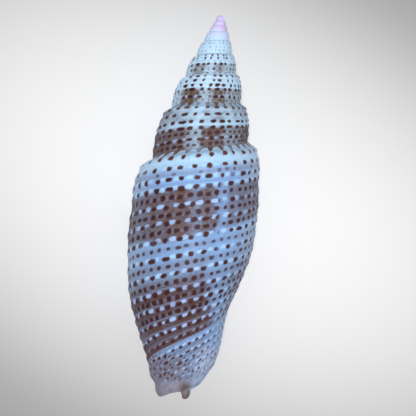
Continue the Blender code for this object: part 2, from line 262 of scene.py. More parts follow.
def curve_through(points, x):
    """A smooth curve through a few points, read at x."""
    px, py = np.array(points, dtype=float).T
    slope = np.gradient(py, px)
    x = np.clip(x, px[0], px[-1])
    k = np.clip(np.searchsorted(px, x, side="right") - 1, 0, len(px) - 2)
    step = px[k + 1] - px[k]
    t = (x - px[k]) / step
    return (py[k] * (1 + 2 * t) * (1 - t) ** 2 + slope[k] * step * t * (1 - t) ** 2
            + py[k + 1] * t * t * (3 - 2 * t) + slope[k + 1] * step * t * t * (t - 1))


def cord_marks():
    """Cord numbers and their places, with a step beyond each end: main cords are even."""
    first, last = CORDS[0] - CORD_MARGIN, CORDS[-1] + CORD_MARGIN
    places = np.array((first,) + CORDS + (last, last + SMOOTH_MARK))
    numbers = [2.0 * i for i in range(-1, len(CORDS) + 1)]
    return np.array(numbers + [2.0 * len(CORDS) + SMOOTH_NUMBERS]), places


def cord_number(s):
    """Cord number of a place on the generating line."""
    numbers, places = cord_marks()
    return np.interp(s, places, numbers)


def cord_step(s):
    """Millimetres of generating line in one cord number."""
    numbers, places = cord_marks()
    step = np.diff(places) / np.diff(numbers)
    return np.interp(s, 0.5 * (places[1:] + places[:-1]), step)


class Growth:
    """The growth law, read from the sizes in the panel; all lengths in mm."""

    def __init__(self, sizes):
        self.sizes = sizes
        self.axial = sizes.axial_growth
        self.radial = sizes.radial_growth
        self.turns = sizes.whorl_turns
        self.contact = SUTURE * self.axial
        for name in ("wobble", "cord_height", "fine_cord_height", "rib_depth", "knob_height",
                     "fold_height", "lip_thickness", "wall_thickness"):
            setattr(self, name, getattr(sizes, name) / MM)

    def axis_frame(self, distance):
        """Place and lean of the coiling axis at each distance from the apex."""
        marks = np.arange(0.0, AXIS_LENGTH, AXIS_STEP)
        lean = self.sizes.axis_bend * fall(marks, 0.0, BEND_REACH)
        across = -np.cumsum(np.sin(lean)) * AXIS_STEP
        along = -np.cumsum(np.cos(lean)) * AXIS_STEP
        across += TIP_SHIFT * rise(marks, TIP_SHIFT_START, TIP_DISTANCE - TIP_SHIFT_START)
        return (np.interp(distance, marks, across), np.interp(distance, marks, along),
                np.interp(distance, marks, lean))

    def place(self, turns, distance, radius):
        """Points in space from turns back, distance along the axis and radius."""
        across, along, lean = self.axis_frame(distance)
        angle = LIP_ANGLE - 2.0 * math.pi * turns
        side = radius * np.cos(angle)
        return np.stack([across + side * np.cos(lean), along - side * np.sin(lean),
                         radius * np.sin(angle)], axis=-1)

    def line_radius(self, turns, s):
        """Radius of the generating line, which meets the earlier whorl at the suture."""
        radius = curve_through(((SUTURE, CONTACT_RADIUS / self.radial),) + PROFILE, s)
        radius = radius + curve_through(EARLY_CHANGE, s) * rise(turns, EARLY_START, EARLY_SPAN)
        back = turns + np.clip((self.contact - s) / (self.contact - SUTURE), 0.0, 1.0)
        return radius * (1.0 - APEX_NARROWING * rise(back, APEX_NARROWING_START,
                                                     APEX_NARROWING_SPAN))

    def dot_wave(self, turns, per_turn, phase):
        """0 on the pale blocks and 1 on the dots, round the whorl."""
        sway = DOT_SWAY * np.sin(2.0 * math.pi * (turns - DOT_SWAY_TURN))
        counted = turns * (1.0 - 0.5 * DOT_THINNING * turns)
        return 0.5 - 0.5 * np.cos(2.0 * math.pi * (per_turn * counted + sway + phase))

    def relief(self, turns, s):
        """Cords, ribs and the row of knobs, raised from the generating line."""
        number = cord_number(s)
        in_fine = (rise(number, FINE_CORDS[0], FINE_FADE) * fall(number, FINE_CORDS[1], FINE_FADE)
                   * fall(turns, *FINE_END))
        off = np.abs(number - 2.0 * np.round(0.5 * number))
        height = self.cord_height * fall(off, 0.0, 1.0 - FINE_SHARE * in_fine)
        height = height + self.fine_cord_height * in_fine * fall(1.0 - off, 0.0, FINE_HALF)
        wave = self.dot_wave(turns, self.sizes.dots_per_turn, DOT_PHASE)
        height = height - self.rib_depth * wave * (number > 0.0)
        top = self.dot_wave(turns, self.sizes.shoulder_dots_per_turn, SHOULDER_PHASE)
        height = height + self.knob_height * (1.0 - top) * fall(np.abs(number), 0.0, KNOB_HALF)
        along = s * self.axial ** -turns
        height = height * fall(along, SCULPTURE_END - CORD_FADE_LEAD, CORD_FADE)
        height = height * rise(s, SUTURE, SUTURE_FADE)
        seam = (fall(np.abs(s - self.contact), 0.0, SEAM_FADE)
                * rise(turns, SEAM_START, 1.0 - SEAM_START))
        return height * (1.0 - seam) * fall(turns, *SMOOTH_APEX)

    def margin(self, turns):
        """Where the wall ends, as a distance along the generating line."""
        return curve_through(MARGIN, turns) * self.axial ** turns

    def pillar_radius(self, turns, distance):
        """Radius of the solid columella."""
        height = np.clip(TIP_DISTANCE - distance, 0.0, PILLAR_REACH)
        spread = rise(height, *PILLAR_SPREAD_RISE) * fall(height, *PILLAR_SPREAD_FALL)
        spread = spread * fall(np.abs(turns - PILLAR_SPREAD_TURN), 0.0, PILLAR_SPREAD_HALF)
        slim = (PILLAR_RADIUS + PILLAR_FLARE * height) * PILLAR_TURN ** (turns - PILLAR_TURN_START)
        return slim + PILLAR_SPREAD * spread

    def askew(self, turns):
        """How far the suture is out of its regular place, along the axis."""
        around = 2.0 * math.pi * (np.clip(turns, 0.0, WOBBLE_START + 1.0) - WOBBLE_START)
        return np.where(around > 0.0, -self.wobble, LAST_WOBBLE) * np.sin(around)

    def lip_flattening(self, turns, s):
        """How far the outer lip's bulge is drawn in, which makes its edge straight there."""
        share = np.clip(1.0 - ((s - LIP_STRAIGHT_PLACE) / LIP_STRAIGHT_HALF) ** 2, 0.0, 1.0) ** 2
        return LIP_STRAIGHT * share * fall(turns, 0.0, LIP_STRAIGHT_SPAN)

    def wall(self, turns, s, sculpted=True):
        """Distance along the axis and radius of the outer surface."""
        share = np.clip((s - SUTURE) / (self.contact - SUTURE), 0.0, 1.0)
        distance = s * self.axial ** -turns
        distance = distance + (1.0 - share) * self.askew(turns) + share * self.askew(turns - 1.0)
        radius = self.line_radius(turns, s) - self.lip_flattening(turns, s)
        if sculpted:
            radius = radius + self.relief(turns, s)
        radius = radius * self.radial ** -turns
        with_pillar = smooth_max(radius, self.pillar_radius(turns, distance), PILLAR_BLEND)
        to_end = self.margin(turns) - s
        turn_in = (WAIST * smooth_step((WAIST_REACH - to_end) / WAIST_SPAN)
                   + EDGE_ROUND * np.clip(1.0 - to_end / EDGE_REACH, 0.0, 1.0) ** 2)
        with_pillar = with_pillar - turn_in * fall(turns, *FREE_MARGIN)
        return distance, np.where(s > self.contact, with_pillar, radius)

    def columella(self, turns, s):
        """The earlier whorl's surface inside the aperture, with its folds."""
        distance, radius = self.wall(turns, s)
        near = np.abs(s[..., None] - np.array(FOLDS)).min(axis=-1)
        share = rise(turns, *FOLDS_RISE) * fall(turns, *FOLDS_FALL) * (s > self.contact)
        bare = self.wall(turns, s, sculpted=False)[1]
        radius = radius + (bare - radius) * rise(turns, *BARE_START) * (s > self.contact)
        return distance, radius + self.fold_height * fall(near, 0.0, FOLD_WIDTH) * share

    def thickness(self, turns, s):
        """Thickness from the outer surface to the lumen."""
        lip = self.lip_thickness
        whole = lip + (self.wall_thickness - lip) * rise(turns, 0.0, LIP_TAPER)
        whole = whole * self.radial ** -turns
        at_end = lip + (END_THICKNESS - lip) * rise(turns, 0.0, END_TAPER)
        near_end = smooth_step((s - self.margin(turns)) / END_TAPER_LENGTH + 1.0)
        return whole + (at_end - whole) * near_end

    def outside(self, turns, s):
        """Points of the outer surface."""
        turns, s = np.broadcast_arrays(turns, s)
        return self.place(turns, *self.wall(turns, s))

    def covered(self, turns, s):
        """Points of the earlier whorl's surface, which the aperture shows."""
        turns, s = np.broadcast_arrays(turns, s)
        return self.place(turns, *self.columella(turns, s))

    def edge(self, turns):
        """Points of the outer surface at the margin."""
        return self.outside(turns, self.margin(turns))


class ShellBuilder:
    """Grows the shell's sheets by the law and welds them into one closed mesh."""

    CORNER_ROWS = 4                 # base rows that the lip's thickness spans at the suture

    def __init__(self, growth, columns):
        self.law = growth
        self.columns = columns
        self.bm = bmesh.new()
        self.growth_uv = self.bm.loops.layers.uv.new("growth")
        self.cord_uv = self.bm.loops.layers.uv.new("cords")
        numbers, places = cord_marks()
        start, stop = cord_number(SUTURE), cord_number(growth.contact)
        steps = np.linspace(start, stop, round((stop - start) / ROW_STEP) + 1)
        self.spire = np.interp(steps, numbers, places)
        self.spire[0], self.spire[-1] = SUTURE, growth.contact
        first = np.linspace(growth.contact, CORNER, self.CORNER_ROWS + 1)[1:]
        steps = np.arange(cord_number(CORNER) + ROW_STEP, 2.0 * len(CORDS), ROW_STEP)
        smooth_end = np.arange(CORDS[-1] + SMOOTH_START, PILLAR_START, SMOOTH_STEP)
        self.base = np.concatenate([first, np.interp(steps, numbers, places), smooth_end])
        self.pillar_shares = np.linspace(0.0, 1.0, PILLAR_ROWS)[1:]

    def base_places(self, turns):
        """Places on the generating line of the base's rows, ended at the margin."""
        end = np.asarray(self.law.margin(turns))[..., None]
        start = np.minimum(PILLAR_START, end)
        return np.concatenate([np.minimum(self.base, end),
                               start + self.pillar_shares * (end - start)], axis=-1)

    def sheet(self, points, turns, s, inside=False):
        """A grid of faces through points, in mm, that carries its growth coordinates."""
        columns, rows = points.shape[:2]
        turns = np.broadcast_to(turns, points.shape[:2])
        s = np.broadcast_to(s, points.shape[:2])
        number, step = cord_number(s), cord_step(s)
        made = bmesh.ops.create_grid(self.bm, x_segments=columns - 1, y_segments=rows - 1,
                                     size=0.5)
        for vert in made["verts"]:
            i = round((vert.co.x + 0.5) * (columns - 1))
            j = round((vert.co.y + 0.5) * (rows - 1))
            vert.co = points[i, j] * MM
            growth_place = (turns[i, j], s[i, j])
            cord_place = (number[i, j], step[i, j])
            for loop in vert.link_loops:
                loop[self.growth_uv].uv = growth_place
                loop[self.cord_uv].uv = cord_place
        if inside:
            for face in {f for vert in made["verts"] for f in vert.link_faces}:
                face.material_index = 1

    def dome(self, ring, tip, steps, turns, s):
        """Close a ring of points with a rounded cap that ends at the tip."""
        rows = []
        for k in range(steps + 1):
            swing = 0.5 * math.pi * k / steps
            rows.append(tip + (ring - tip) * math.cos(swing) + (tip - ring.mean(axis=0))
                        * (math.sin(swing) + math.cos(swing) - 1.0))
        self.sheet(np.stack(rows, axis=1), turns, s)

    def outer_wall(self):
        """All whorls, and the base down to the margin and round the columella."""
        law = self.law
        turns = np.arange(round(law.turns * self.columns) + 1) / self.columns
        self.sheet(law.outside(turns[:, None], self.spire), turns[:, None], self.spire)
        turns = turns[:self.columns + 1]
        s = np.column_stack([np.full(len(turns), law.contact), self.base_places(turns)])
        self.sheet(law.covered(turns[:, None], s), turns[:, None], s)

    def lumen_outline(self, depth):
        """Place, distance and radius of the lumen's outer side, from corner to margin."""
        law = self.law
        turns = np.array([depth])
        rows = np.concatenate([self.spire, self.base_places(depth)])
        corner = self.base_places(depth + 1.0)[self.CORNER_ROWS - 1] / law.axial
        end = law.margin(depth)
        s = corner + (rows[1:] - SUTURE) * (end - corner) / (end - SUTURE)
        distance, radius = law.wall(turns, s, sculpted=False)
        inner = radius - law.thickness(turns, s)
        earlier = law.columella(turns + 1.0, np.maximum(s, corner) * law.axial)[1]
        opened = OPENING_LEAST + (1.0 - OPENING_LEAST) * rise(s, corner, OPENING)
        gap = np.maximum(inner - earlier, 0.0)
        inner = np.where(s < corner + OPENING, earlier + gap * opened, inner)
        return s, distance, inner

    def lip_edge(self, outer, inner, out_ways, steps):
        """Rows across the lip's rounded edge, from the outer surface to the inner one."""
        shares = np.arange(steps + 1) / steps
        rows = [outer + (inner - outer) * w + out_ways * LIP_ROUND * math.sin(math.pi * w)
                for w in shares]
        return np.stack(rows, axis=1)

    def lumen(self):
        """The hollow from the aperture back to its closed depth, and the lip's edge."""
        depths = np.arange(round(CANAL_TURNS * self.columns) + 1) / self.columns
        columns, places, turns_back, ends = [], [], [], []
        for depth in depths:
            s, distance, radius = self.lumen_outline(depth)
            outer = self.law.place(depth, distance, radius)
            pillar_s = self.base_places(depth + 1.0)[self.CORNER_ROWS - 1:]
            inner = self.law.covered(depth + 1.0, pillar_s)
            if depth == depths[-1]:
                outer[-1] = inner[-1]
            columns.append(np.concatenate([outer[::-1], inner]))
            places.append(np.concatenate([s[::-1], pillar_s]))
            turns_back.append(depth + (np.arange(len(places[-1])) >= len(s)))
            ends.append(outer[-1])
        self.sheet(*(np.stack(rows)[:, ::-1] for rows in (columns, turns_back, places)),
                   inside=True)
        last_rim = self.lip(columns[0], self.law.edge(depths), np.array(ends))
        return last_rim, [column[-1] for column in columns]

    def lip(self, first_column, rim_outer, rim_inner):
        """The rounded edge of the outer lip, and of the margin down to the columella."""
        law = self.law
        steps = self.CORNER_ROWS
        lip_s = np.concatenate([self.spire, self.base_places(0.0)])
        outer = law.outside(0.0, lip_s)
        inner = first_column[:len(lip_s)][::-1]
        ahead = law.outside(-LIP_AHEAD, lip_s) - outer
        ahead = ahead / np.linalg.norm(ahead, axis=1)[:, None]
        down = np.array([0.0, -1.0, 0.0])
        share = smooth_step((lip_s - lip_s[-1]) / LIP_FRONT + 1.0)[:, None]
        ways = ahead + (down - ahead) * 0.5 * share
        ways[0] = 0.0
        grid = self.lip_edge(outer, inner, ways, steps)
        grid[0, 1:] = law.covered(1.0, self.base_places(1.0)[:steps])
        self.sheet(grid[::-1], 0.0, lip_s[::-1, None])
        fade = np.linspace(0.0, 1.0, len(rim_outer))[:, None]
        ways = ways[-1] + (down - ways[-1]) * smooth_step(fade * RIM_TURN)
        ways = ways * fall(fade, *RIM_END)
        grid = self.lip_edge(rim_outer, rim_inner, ways, steps)
        self.sheet(grid, fade * CANAL_TURNS, RIM_PLACE)
        return grid[-1]

    def close_tip(self, last_rim, pillar_ends):
        """The columella's rounded tip."""
        first = round(CANAL_TURNS * self.columns)
        ring = list(self.law.edge(np.arange(first, self.columns) / self.columns))
        ring = ring + list(pillar_ends) + list(last_rim[1:-1][::-1]) + ring[:1]
        across, along, _ = self.law.axis_frame(TIP_DISTANCE)
        self.dome(np.array(ring), np.array([across, along, 0.0]), TIP_ROWS, TIP_TURN, TIP_PLACE)

    def close_apex(self):
        """The rounded apex, over the first whorl."""
        law = self.law
        last = round(law.turns * self.columns)
        turns = np.arange(last - self.columns, last + 1) / self.columns
        ring = np.concatenate([law.outside(turns, SUTURE),
                               law.outside(turns[-1], self.spire)[1:]])
        across, along, _ = law.axis_frame(APEX_DISTANCE)
        self.dome(ring[::-1], np.array([across, along, 0.0]), APEX_ROWS, law.turns, SUTURE)

    def build(self):
        """The whole shell in its growing frame, welded and closed."""
        self.outer_wall()
        last_rim, pillar_ends = self.lumen()
        self.close_tip(last_rim, pillar_ends)
        self.close_apex()
        bmesh.ops.remove_doubles(self.bm, verts=self.bm.verts, dist=WELD * MM)
        bmesh.ops.dissolve_degenerate(self.bm, edges=self.bm.edges, dist=WELD * MM)
        open_edges = [e for e in self.bm.edges if e.is_boundary]
        bmesh.ops.holes_fill(self.bm, edges=open_edges, sides=0)
        bmesh.ops.recalc_face_normals(self.bm, faces=self.bm.faces)
        return self.bm


def rest_turn():
    """How the growing frame is turned when the shell lies on its aperture."""
    tipped = Matrix.Rotation(REST_PITCH, 4, "X") @ Matrix.Rotation(REST_ROLL, 4, "Y")
    return Matrix.Rotation(REST_YAW, 4, "Z") @ tipped


def lay_down(bm, growth_scale):
    """Turn the shell to its resting pose, in the middle of the frame's own box."""
    bmesh.ops.transform(bm, matrix=rest_turn() @ Matrix.Scale(growth_scale, 4),
                        verts=bm.verts)
    places = np.array([v.co for v in bm.verts])
    low, high = places.min(axis=0), places.max(axis=0)
    frame_low, frame_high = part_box(NODE)
    middle = (frame_low + frame_high) / 2.0
    shift = Vector((middle.x - 0.5 * (low[0] + high[0]), middle.y - 0.5 * (low[1] + high[1]),
                    frame_low.z - low[2]))
    bmesh.ops.translate(bm, vec=shift, verts=bm.verts)
    return shift


def node(tree, kind, settings=None, inputs=None, output=0):
    """A node of that kind, with its settings and the values or links of its sockets."""
    made = tree.nodes.new(kind)
    for name, value in (settings or {}).items():
        if name == "stops":
            set_stops(made.color_ramp, value)
        else:
            setattr(made, name, value)
    pairs = inputs.items() if isinstance(inputs, dict) else enumerate(inputs or [])
    for key, value in pairs:
        if isinstance(value, Wire):
            tree.links.new(value.socket, made.inputs[key])
        else:
            made.inputs[key].default_value = value
    return Wire(tree, made.outputs[output])


def set_stops(ramp, stops):
    """Grey stops of a colour ramp, from (place, strength) pairs."""
    while len(ramp.elements) < len(stops):
        ramp.elements.new(0.5)
    for element, (place, strength) in zip(ramp.elements, stops):
        element.position = place
        element.color = (strength, strength, strength, 1.0)


def math_method(operation, swapped=False):
    """A method that joins a socket to others, or to numbers, through a Math node."""
    def method(self, *others):
        inputs = [*others, self] if swapped else [self, *others]
        return node(self.tree, "ShaderNodeMath", {"operation": operation}, inputs)
    return method


class Wire:
    """A shader socket that takes part in sums and products as a number does."""

    def __init__(self, tree, socket):
        self.tree = tree
        self.socket = socket

    __add__ = __radd__ = math_method("ADD")
    __sub__ = math_method("SUBTRACT")
    __rsub__ = math_method("SUBTRACT", swapped=True)
    __mul__ = __rmul__ = math_method("MULTIPLY")
    __truediv__ = math_method("DIVIDE")
    __pow__ = math_method("POWER")
    __rpow__ = math_method("POWER", swapped=True)
    __abs__ = math_method("ABSOLUTE")
    floor = math_method("FLOOR")
    fraction = math_method("FRACT")
    sine = math_method("SINE")
    below = math_method("LESS_THAN")
    least = math_method("MINIMUM")
    most = math_method("MAXIMUM")

    def step(self, low, high):
        """0 below low, 1 above high, and smooth between; high may be the smaller."""
        made = node(self.tree, "ShaderNodeMapRange", {"interpolation_type": "SMOOTHSTEP"},
                    {"Value": self, "From Min": min(low, high), "From Max": max(low, high)})
        return 1.0 - made if high < low else made

    def bell(self, centre, half):
        """1 at the centre, falling smoothly to 0 at half a width away."""
        return abs(self - centre).step(half, 0.0)

    def ramp(self, pairs):
        """The strength that a list of (place, strength) pairs gives at this value."""
        low, high = pairs[0][0], pairs[-1][0]
        stops = [((place - low) / (high - low), strength) for place, strength in pairs]
        return node(self.tree, "ShaderNodeValToRGB", {"stops": stops},
                    [(self - low) / (high - low)])


def parts(vector):
    """The X, Y and Z of a vector."""
    split = node(vector.tree, "ShaderNodeSeparateXYZ", None, [vector]).socket.node
    return [Wire(vector.tree, socket) for socket in split.outputs]


def joined(x, y, z):
    """A vector of three numbers, the first of them a socket."""
    return node(x.tree, "ShaderNodeCombineXYZ", None, [x, y, z])


def cloud(x, y, seed, detail=2.0):
    """Soft noise in two coordinates, from 0 to 1."""
    return node(x.tree, "ShaderNodeTexNoise", {"noise_dimensions": "3D"},
                {"Vector": joined(x, y, seed * SEED_SPACING), "Scale": 1.0, "Detail": detail})


def chances(column, row, seed):
    """Three steady random numbers for a cell."""
    return parts(node(column.tree, "ShaderNodeTexWhiteNoise", {"noise_dimensions": "3D"},
                      [joined(column, row, seed)], output=1))


def redrawn(chance, spread):
    """Another steady random number from the same draw."""
    return (chance * spread).fraction()


def blend_colours(factor, first, second):
    """The first colour where the factor is 0 and the second where it is 1."""
    first, second = [colour if isinstance(colour, Wire) else (*colour, 1.0)
                     for colour in (first, second)]
    return node(factor.tree, "ShaderNodeMix", {"data_type": "RGBA"},
                {0: factor, 6: first, 7: second}, output=2)


def blend_numbers(factor, first, second):
    """A number that goes from the first to the second."""
    return first + factor * (second - first)


def painted(colour, layers):
    """The colour under (mask, colour) layers, laid over it one after the other."""
    for mask, upper in layers:
        colour = blend_colours(mask, colour, upper)
    return colour


class Glaze:
    """The shell's outside: cords of dark dots and pale blocks, haze bands, lilac ends.

    Every mark is a mask made of steps.  Steps on turns and part, the share of a turn, are
    places round the axis.  Steps on s and along are mm of line and mm of axis.  Steps on
    number are cords: 0 is the first cord below the suture, 2 the next, and so on.
    """

    def __init__(self, tree, sizes, colours):
        self.sizes = sizes
        self.tints = colours
        self.turns, self.s, _ = parts(node(tree, "ShaderNodeUVMap", {"uv_map": "growth"}))
        self.number, step, _ = parts(node(tree, "ShaderNodeUVMap", {"uv_map": "cords"}))
        self.shrink = sizes.radial_growth ** (self.turns * -1.0)
        self.along = self.s * sizes.axial_growth ** (self.turns * -1.0)
        self.whorl = self.turns.floor()
        self.part = self.turns.fraction()
        self.last = self.whorl.below(0.5)
        self.spire = self.turns.step(0.9, 1.1)
        self.front = self.along + self.part * FRONT_SLANT
        self.dotted = (self.front.step(SCULPTURE_END + 2.3, SCULPTURE_END + 1.1)
                       * self.along.step(3.0, 4.0))
        self.sparse = self.part.step(0.34, 0.46) * self.s.step(45.0, 49.0) * self.last
        self.set_rows(step)
        self.set_streaks()

    def noise(self, name):
        """One of the soft noises, at its own scale."""
        per_turn, per_mm, seed, detail = NOISES[name]
        return cloud(self.turns * per_turn, self.s * per_mm, seed, detail)

    def set_rows(self, step):
        """Which cord each point is on, how far off it, and how the dots crowd."""
        self.counted = self.turns * (1.0 - self.turns * (0.5 * DOT_THINNING))
        sway = (self.turns * (2.0 * math.pi) - 2.0 * math.pi * DOT_SWAY_TURN).sine() * DOT_SWAY
        self.sway = sway + (self.noise("sway") - 0.5) * 0.35
        self.ragged = self.noise("ragged") - 0.5
        self.grain = self.noise("grain")
        wander = (self.noise("wander") - 0.5) * 0.3
        self.row = (self.number * 0.5 + 0.5).floor()
        self.off = (self.number - self.row * 2.0) * step + wander
        self.fine_row = (self.number * 0.5).floor()
        self.fine_off = (self.number - self.fine_row * 2.0 - 1.0) * step + wander
        self.tall = (self.turns - 1.2).most(0.0) * 0.45 + 1.0

    def set_streaks(self):
        """The axial streaks that break the haze, with ragged borders."""
        border = self.noise("border") - 0.5
        wander = border * (0.045 + self.turns.step(0.8, 1.1) * 0.02)
        self.streaked = (self.turns + wander).fraction()
        self.streak_ramps = [self.streaked.ramp(pairs) for pairs in
                             (STREAKS_UPPER, STREAKS_SECOND, STREAKS_THIRD)]
        self.dark = self.streaks(0.0)

    def streaks(self, back):
        """Strength of the haze round this whorl, or round one further back."""
        whorl = self.whorl + back
        shares = (whorl.bell(0.0, 0.5), whorl.bell(1.0, 0.5),
                  whorl.bell(2.0, 0.5) + whorl.bell(3.0, 0.5) * 0.7)
        first, second, third = [ramp * share for ramp, share in zip(self.streak_ramps, shares)]
        return first + second + third

    def cells(self, per_turn, phase, row, off, half_width, half_height, seed, spread):
        """A row of rounded cells: their mask and their random numbers."""
        count = self.counted * per_turn + self.sway + phase
        chance = chances(count.floor(), row, seed)
        uneven = self.turns.step(1.0, 2.2) * 0.25
        across = count.fraction() - 0.5 - (chance[0] - 0.5) * (0.24 + uneven) + self.ragged * 0.2
        width = (chance[1] * chance[1] * spread + 0.82 - uneven * 0.5) * half_width
        height = (redrawn(chance[0], 7.3) * 0.35 + 0.83) * half_height
        height = height * (1.0 - self.along.step(37.0, 45.0) * 0.45)
        scatter = 0.14 + self.along.step(42.0, 45.5) * 0.4
        up = (off - (chance[2] - 0.5) * scatter + self.ragged * 0.26) / (self.tall * height)
        shape = abs(across / width) ** CELL_POWER + abs(up) ** CELL_POWER
        return shape.step(1.9, 0.3), chance

    def haze(self):
        """Strength of the brown haze: bands along the cords, broken by axial streaks."""
        rough = self.noise("rough")
        slant = abs(self.part - 0.31) * 6.0 * self.s.step(28.0, 31.0) * self.last
        ragged = self.s + (rough - 0.5) * 1.0 + slant + self.spire * 0.3
        lower = (self.streaked - self.s.step(42.0, 47.0) * 0.035).ramp(STREAKS_LOWER)
        bands = (ragged.ramp(UPPER_BAND) * self.dark).most(
            self.s.ramp(LOWER_BAND) * (lower * self.last))
        veil = self.dark.step(0.25, 0.9) * self.spire * self.s.step(26.5, 24.5)
        veil = veil * (0.32 + 0.28 * rough.step(0.4, 0.6)) * (1.0 - self.turns.step(1.5, 1.9) * 0.8)
        mottling = 0.66 + 0.35 * rough + 0.5 * self.grain
        mottling = mottling + self.turns.step(0.9, 1.2) * (self.grain - 0.5) * 0.5
        return (bands * mottling).least(1.0).most(veil) * self.dotted

    def ground(self):
        """Pale blue, with painted shade greyer in the grooves between cords and a painted
        sheen paler towards both sides; brighter at the shoulder.
        """
        tints = self.tints
        mottling = self.noise("mottling").step(0.3, 0.72) * 0.8
        # Painted shade: greyer ground in the grooves between cords.
        valley_shade = abs(self.number - self.row * 2.0).step(0.3, 1.0)
        valley_shade = valley_shade * self.number.step(1.5, 4.0) * (0.6 - 0.3 * self.along.step(42.0, 45.0))
        bright = self.number.step(2.9, 1.2).most(self.turns.step(0.85, 1.1))
        # Painted sheen: paler, greyer ground towards both sides of the last whorl, and a paler
        # patch low in the middle.
        side_sheen_and_streak = self.part.step(0.28, 0.12).most(self.part.step(0.42, 0.6))
        side_sheen_and_streak = side_sheen_and_streak.most(self.part.step(0.36, 0.44) * self.along.step(41.5, 44.5) * 1.5)
        side_sheen_and_streak = (side_sheen_and_streak * self.last).least(1.5) * 0.55
        dusky = self.number.bell(3.0, 1.4) * 0.35 + self.number.step(1.4, -0.6) * 0.3
        dusky = dusky + self.along.step(42.5, 46.0) * (0.05 + 0.65 * self.part.step(0.44, 0.3))
        left = self.turns.bell(1.15, 0.13) * self.s.step(18.5, 20.5) * 0.6
        return painted(tints.ground, (
            (mottling, tints.ground_deep),
            (valley_shade, tints.groove_shade_and_marks),
            (bright, tints.shoulder),
            (side_sheen_and_streak, tints.sheen_side_ground),
            (dusky * self.last, tints.smooth_end),
            (self.turns.step(0.65, 2.2) * 0.85, tints.spire),
            (left, tints.smooth_end)))

    def fine_marks(self, haze):
        """The small dots between main cords: their mask, and the gaps between them."""
        per_turn = self.sizes.fine_dots_per_turn
        fine, chance = self.cells(per_turn, FINE_PHASE, self.fine_row, self.fine_off,
                                  blend_numbers(haze, 0.23, 0.33),
                                  blend_numbers(haze, 0.24, 0.33), 4.0, 0.35)
        gap, _ = self.cells(per_turn, FINE_PHASE + 0.5, self.fine_row, self.fine_off, 0.2, 0.28,
                            5.0, 0.3)
        front = self.number.step(22.6, 22.0).most(self.along.step(43.0, 45.0) * 0.75)
        zone = self.number.step(6.2, 6.8) * front
        faint = self.number.step(2.2, 2.6) * self.number.step(3.9, 3.4) * self.last
        early = blend_numbers(self.turns.step(1.0, 2.1), 1.0, 0.5) * self.turns.step(3.4, 2.8)
        clear = blend_numbers(haze, 0.78 + 0.22 * chance[0], 1.0)
        marks = (zone * clear * early).most(faint * chance[0].step(0.2, 0.6) * 0.6)
        return fine * marks * self.dotted, gap * zone * early, chance

    def dots(self):
        """The main dark dots: their mask and random numbers."""
        sizes = self.sizes
        width = blend_numbers(self.dark, 0.18, 0.24 + 0.05 * self.spire) - self.sparse * 0.04
        main, chance = self.cells(sizes.dots_per_turn, DOT_PHASE, self.row, self.off - 0.05,
                                  width, 0.33 - self.sparse * 0.05, 1.0, 0.7)
        width = blend_numbers(self.number.step(-0.9, 0.9), 0.15, 0.19)
        width = width + self.spire * self.dark.step(0.6, 0.95) * 0.08
        top, _ = self.cells(sizes.shoulder_dots_per_turn, SHOULDER_PHASE, self.row, self.off,
                            width, 0.32, 2.0, 0.6)
        dots = blend_numbers(self.number.below(3.0), main, top)
        lone = self.turns.step(2.7, 3.3) * abs(self.number - 4.0).below(1.0)
        bare = self.part.bell(0.428, 0.012) * self.last * self.s.step(36.5, 35.0)
        bare = bare * self.number.step(4.0, 6.0)
        few = self.sparse * 0.3 + self.turns.step(1.4, 2.4) * 0.2
        few = few.most(self.along.step(43.0, 45.5) * 0.25)
        kept = (redrawn(chance[1], 9.1) - few).step(0.02, 0.09)
        steady = self.dark * (1.0 - self.sparse) * self.along.step(45.5, 43.0)
        kept = kept.most(steady) * 0.85 + 0.15
        strength = self.dotted * (1.0 - self.turns.step(3.2, 4.4) * 0.6)
        return dots * strength * kept * (1.0 - lone * 0.8) * (1.0 - bare * 0.9), chance

    def dot_colour(self, chance):
        """Dark red-brown, paler outside the haze and at both ends of the shell."""
        tints = self.tints
        weak = (1.0 - self.dark) * (0.3 + 0.5 * chance[2]) + self.number.step(4.0, -0.5) * 0.55
        weak = (weak + self.along.step(44.5, 46.5) * 0.5).least(1.0)
        pale = blend_colours(self.turns.step(0.9, 1.3), tints.dot_pale, tints.dot_early)
        return blend_colours(weak, tints.dot, pale)

    def haze_colour(self):
        """Grey brown, darker in its grain and below, and olive on the spire."""
        tints = self.tints
        deep = self.s.step(36.0, 43.0).most(self.turns.step(0.95, 1.1) * 0.35) * 0.7
        deep = (deep + self.grain.step(0.38, 0.66) * 0.55).least(1.0)
        return painted(tints.haze, ((deep, tints.haze_deep),
                                    (self.turns.step(1.7, 2.1), tints.haze_early)))

    def specks(self):
        """Brown grain on the pale ground of the last whorl."""
        specks = self.grain.step(0.5, 0.72) * (0.2 + self.along.step(42.0, 46.0) * 0.35)
        return specks * self.number.step(0.5, 3.0) * self.turns.step(1.4, 0.9) * self.dotted

    def rim_highlights(self):
        """Painted highlight: the thin pale line along a cord's upper side, as if lit from above."""
        rim = self.off.bell(-0.5, 0.24) * self.number.step(14.0, 16.0) * self.dotted
        return rim * (1.0 - 0.7 * self.s.bell(47.3, 1.0)) * self.along.step(46.0, 43.5) * 0.45

    def block_strength(self, haze, chance):
        """How clear the pale blocks are: less in the lowest haze, on the spire and in front."""
        buried = 1.0 - self.s.bell(47.4, 0.9) * haze * 0.65
        fewer = (self.turns.step(0.85, 1.1) * (0.75 - 0.4 * haze)
                 + self.along.step(43.0, 45.5) * (0.35 + 0.5 * chance[2]))
        fewer = fewer.most(self.part.step(0.41, 0.5) * 0.45 + self.sparse * 0.2)
        return buried * (0.65 + 0.35 * chance[1]) * (1.0 - fewer)

